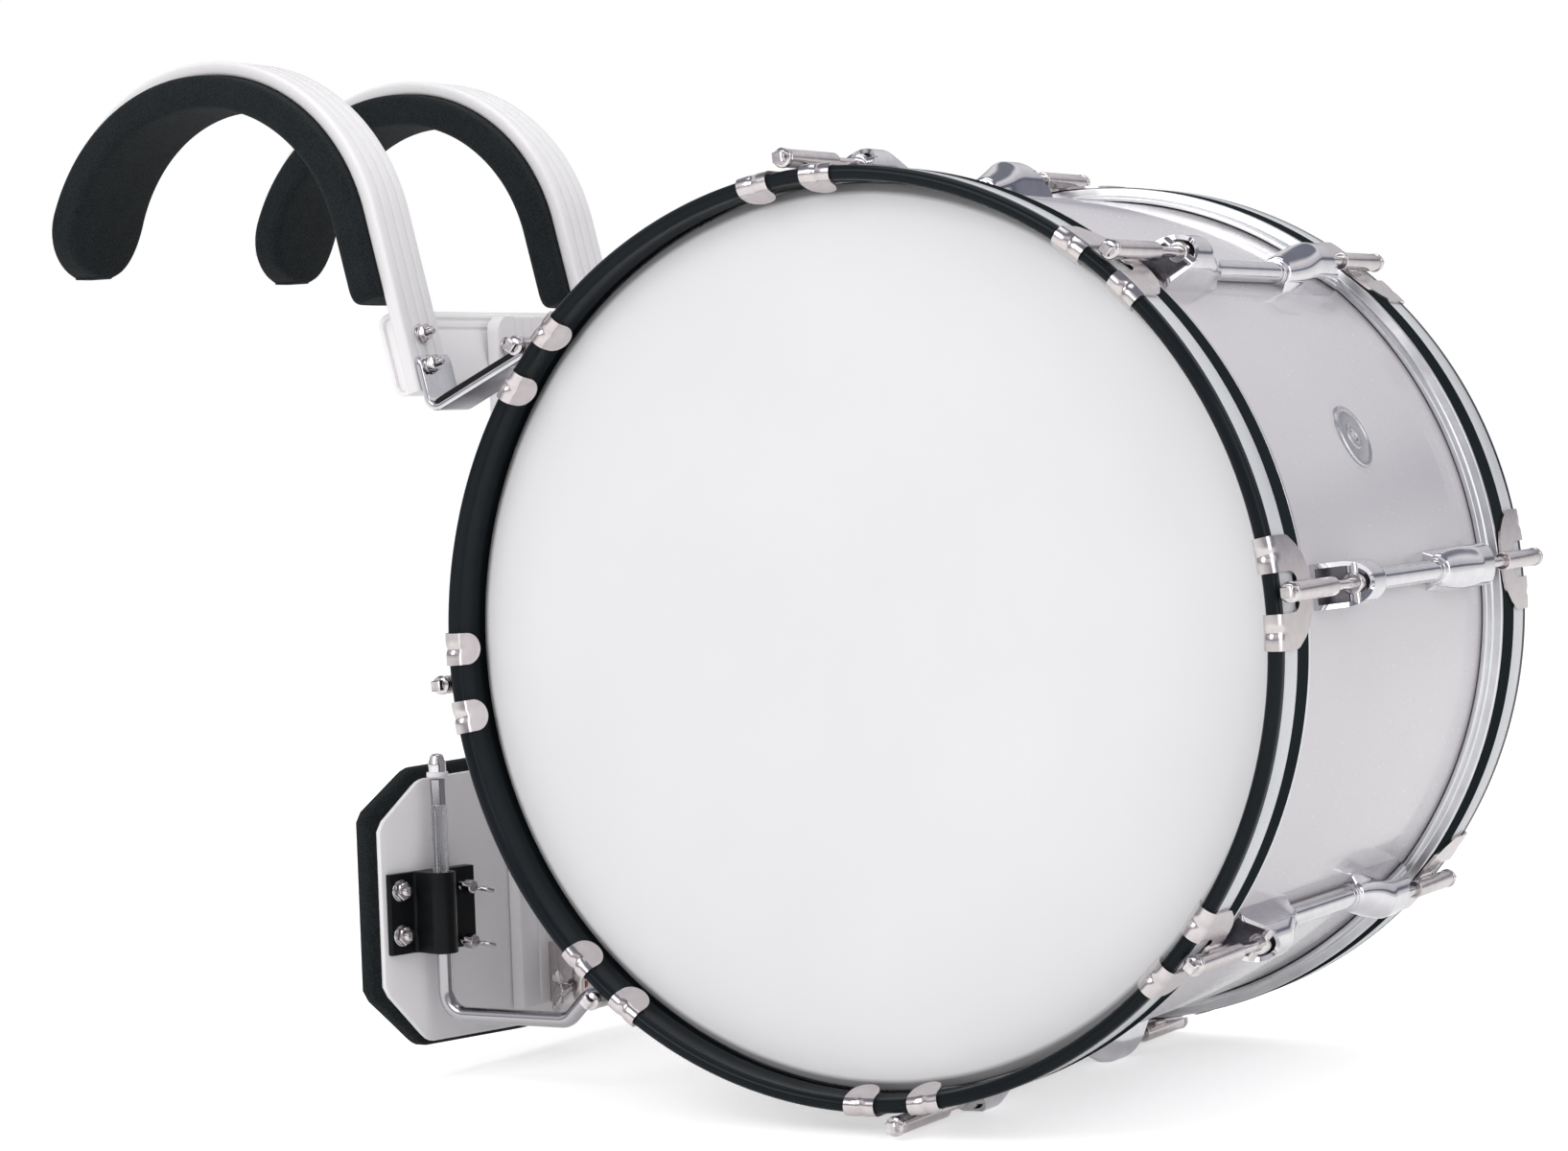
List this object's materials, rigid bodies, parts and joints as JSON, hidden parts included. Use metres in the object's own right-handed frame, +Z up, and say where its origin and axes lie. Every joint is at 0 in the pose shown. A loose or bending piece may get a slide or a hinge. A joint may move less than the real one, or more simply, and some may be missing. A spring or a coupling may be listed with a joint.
{
  "type": "marching bass drum with carrier",
  "caption": "Bass drum for marching: hooped shell with claw hooks, tension rods and lugs, hooked by straps and J rods onto a vest carrier with padded shoulder arches and a belly plate",
  "frame": {"origin": "midway between the crowns of the two padded shoulder arches, where the player's shoulders carry the weight", "axes": "+X along the drum's axis to the player's left, +Y to the player's back, +Z up"},
  "size_m": [0.4014, 0.8921, 0.642],
  "materials": {
    "shell": "gloss white lacquer; the chrome lugs are part of this node",
    "film": "smooth white film; its aluminium flesh hoop is part of this node",
    "hoop": "gloss black lacquer with a silver-white inlay stripe",
    "nickel": "satin nickel plate",
    "chrome": "bright chrome plate",
    "white_paint": "gloss white powder coat over an aluminium extrusion",
    "black_paint": "satin black paint",
    "foam": "matt black closed-cell foam",
    "rubber": "matt black rubber strip",
    "wing": "dark chrome plate"
  },
  "bodies": {
    "carrier_and_drum": {"drum_shell": "shell", "vent_badge": "chrome", "right_head": "film", "right_hoop": "hoop", "right_claw_1": "nickel", "right_claw_2": "nickel", "right_claw_3": "nickel", "right_claw_4": "nickel", "right_claw_5": "nickel", "right_claw_6": "nickel", "right_claw_7": "nickel", "right_claw_8": "nickel", "left_head": "film", "left_hoop": "hoop", "left_claw_1": "nickel", "left_claw_2": "nickel", "left_claw_3": "nickel", "left_claw_4": "nickel", "left_claw_5": "nickel", "left_claw_6": "nickel", "left_claw_7": "nickel", "left_claw_8": "nickel", "crossbar": "white_paint", "centre_post": "white_paint", "belly_plate": "white_paint", "belly_pad": "foam", "foot_bracket": "chrome", "right_shoulder_bar": "white_paint", "right_shoulder_pad": "foam", "right_hook_strap": "chrome", "right_hook_rubber": "rubber", "right_clamp": "black_paint", "left_shoulder_bar": "white_paint", "left_shoulder_pad": "foam", "left_hook_strap": "chrome", "left_hook_rubber": "rubber", "left_clamp": "black_paint"},
    "right_tension_rod_1_body": {"right_tension_rod_1": "chrome"},
    "right_tension_rod_2_body": {"right_tension_rod_2": "chrome"},
    "right_tension_rod_3_body": {"right_tension_rod_3": "chrome"},
    "right_tension_rod_4_body": {"right_tension_rod_4": "chrome"},
    "right_tension_rod_5_body": {"right_tension_rod_5": "chrome"},
    "right_tension_rod_6_body": {"right_tension_rod_6": "chrome"},
    "right_tension_rod_7_body": {"right_tension_rod_7": "chrome"},
    "right_tension_rod_8_body": {"right_tension_rod_8": "chrome"},
    "left_tension_rod_1_body": {"left_tension_rod_1": "chrome"},
    "left_tension_rod_2_body": {"left_tension_rod_2": "chrome"},
    "left_tension_rod_3_body": {"left_tension_rod_3": "chrome"},
    "left_tension_rod_4_body": {"left_tension_rod_4": "chrome"},
    "left_tension_rod_5_body": {"left_tension_rod_5": "chrome"},
    "left_tension_rod_6_body": {"left_tension_rod_6": "chrome"},
    "left_tension_rod_7_body": {"left_tension_rod_7": "chrome"},
    "left_tension_rod_8_body": {"left_tension_rod_8": "chrome"},
    "foot_wing_screw_body": {"foot_wing_screw": "wing"},
    "right_j_rod_body": {"right_j_rod": "chrome"},
    "right_wing_screw_1_body": {"right_wing_screw_1": "wing"},
    "right_wing_screw_2_body": {"right_wing_screw_2": "wing"},
    "left_j_rod_body": {"left_j_rod": "chrome"},
    "left_wing_screw_1_body": {"left_wing_screw_1": "wing"},
    "left_wing_screw_2_body": {"left_wing_screw_2": "wing"}
  },
  "joints": [
    {"name": "right_tension_rod_1_turn", "type": "hinge", "parent": "carrier_and_drum", "child": "right_tension_rod_1_body", "pos_m": [-0.14, -0.45697, -0.06216], "axis": [-1, 0, 0], "continuous": true},
    {"name": "right_tension_rod_2_turn", "type": "hinge", "parent": "carrier_and_drum", "child": "right_tension_rod_2_body", "pos_m": [-0.14, -0.65511, -0.12349], "axis": [-1, 0, 0], "continuous": true},
    {"name": "right_tension_rod_3_turn", "type": "hinge", "parent": "carrier_and_drum", "child": "right_tension_rod_3_body", "pos_m": [-0.14, -0.75184, -0.30697], "axis": [-1, 0, 0], "continuous": true},
    {"name": "right_tension_rod_4_turn", "type": "hinge", "parent": "carrier_and_drum", "child": "right_tension_rod_4_body", "pos_m": [-0.14, -0.69051, -0.50511], "axis": [-1, 0, 0], "continuous": true},
    {"name": "right_tension_rod_5_turn", "type": "hinge", "parent": "carrier_and_drum", "child": "right_tension_rod_5_body", "pos_m": [-0.14, -0.50703, -0.60184], "axis": [-1, 0, 0], "continuous": true},
    {"name": "right_tension_rod_6_turn", "type": "hinge", "parent": "carrier_and_drum", "child": "right_tension_rod_6_body", "pos_m": [-0.14, -0.30889, -0.54051], "axis": [-1, 0, 0], "continuous": true},
    {"name": "right_tension_rod_7_turn", "type": "hinge", "parent": "carrier_and_drum", "child": "right_tension_rod_7_body", "pos_m": [-0.14, -0.21216, -0.35703], "axis": [-1, 0, 0], "continuous": true},
    {"name": "right_tension_rod_8_turn", "type": "hinge", "parent": "carrier_and_drum", "child": "right_tension_rod_8_body", "pos_m": [-0.14, -0.27349, -0.15889], "axis": [-1, 0, 0], "continuous": true},
    {"name": "left_tension_rod_1_turn", "type": "hinge", "parent": "carrier_and_drum", "child": "left_tension_rod_1_body", "pos_m": [0.14, -0.45697, -0.06216], "axis": [1, 0, 0], "continuous": true},
    {"name": "left_tension_rod_2_turn", "type": "hinge", "parent": "carrier_and_drum", "child": "left_tension_rod_2_body", "pos_m": [0.14, -0.65511, -0.12349], "axis": [1, 0, 0], "continuous": true},
    {"name": "left_tension_rod_3_turn", "type": "hinge", "parent": "carrier_and_drum", "child": "left_tension_rod_3_body", "pos_m": [0.14, -0.75184, -0.30697], "axis": [1, 0, 0], "continuous": true},
    {"name": "left_tension_rod_4_turn", "type": "hinge", "parent": "carrier_and_drum", "child": "left_tension_rod_4_body", "pos_m": [0.14, -0.69051, -0.50511], "axis": [1, 0, 0], "continuous": true},
    {"name": "left_tension_rod_5_turn", "type": "hinge", "parent": "carrier_and_drum", "child": "left_tension_rod_5_body", "pos_m": [0.14, -0.50703, -0.60184], "axis": [1, 0, 0], "continuous": true},
    {"name": "left_tension_rod_6_turn", "type": "hinge", "parent": "carrier_and_drum", "child": "left_tension_rod_6_body", "pos_m": [0.14, -0.30889, -0.54051], "axis": [1, 0, 0], "continuous": true},
    {"name": "left_tension_rod_7_turn", "type": "hinge", "parent": "carrier_and_drum", "child": "left_tension_rod_7_body", "pos_m": [0.14, -0.21216, -0.35703], "axis": [1, 0, 0], "continuous": true},
    {"name": "left_tension_rod_8_turn", "type": "hinge", "parent": "carrier_and_drum", "child": "left_tension_rod_8_body", "pos_m": [0.14, -0.27349, -0.15889], "axis": [1, 0, 0], "continuous": true},
    {"name": "right_j_rod_slide", "type": "slide", "parent": "carrier_and_drum", "child": "right_j_rod_body", "axis": [0, 0, 1], "range_m": [-0.035, 0]},
    {"name": "right_wing_screw_1_turn", "type": "hinge", "parent": "carrier_and_drum", "child": "right_wing_screw_1_body", "pos_m": [-0.10173, -0.15693, -0.489], "axis": [-0.2588, -0.9659, 0], "continuous": true},
    {"name": "right_wing_screw_2_turn", "type": "hinge", "parent": "carrier_and_drum", "child": "right_wing_screw_2_body", "pos_m": [-0.10173, -0.15693, -0.523], "axis": [-0.2588, -0.9659, 0], "continuous": true},
    {"name": "left_j_rod_slide", "type": "slide", "parent": "carrier_and_drum", "child": "left_j_rod_body", "axis": [0, 0, 1], "range_m": [-0.035, 0]},
    {"name": "left_wing_screw_1_turn", "type": "hinge", "parent": "carrier_and_drum", "child": "left_wing_screw_1_body", "pos_m": [0.10173, -0.15693, -0.489], "axis": [0.2588, -0.9659, 0], "continuous": true},
    {"name": "left_wing_screw_2_turn", "type": "hinge", "parent": "carrier_and_drum", "child": "left_wing_screw_2_body", "pos_m": [0.10173, -0.15693, -0.523], "axis": [0.2588, -0.9659, 0], "continuous": true},
    {"name": "foot_wing_screw_turn", "type": "hinge", "parent": "carrier_and_drum", "child": "foot_wing_screw_body", "pos_m": [-0.001, -0.166, -0.567], "axis": [-1, 0, 0], "continuous": true}
  ]
}
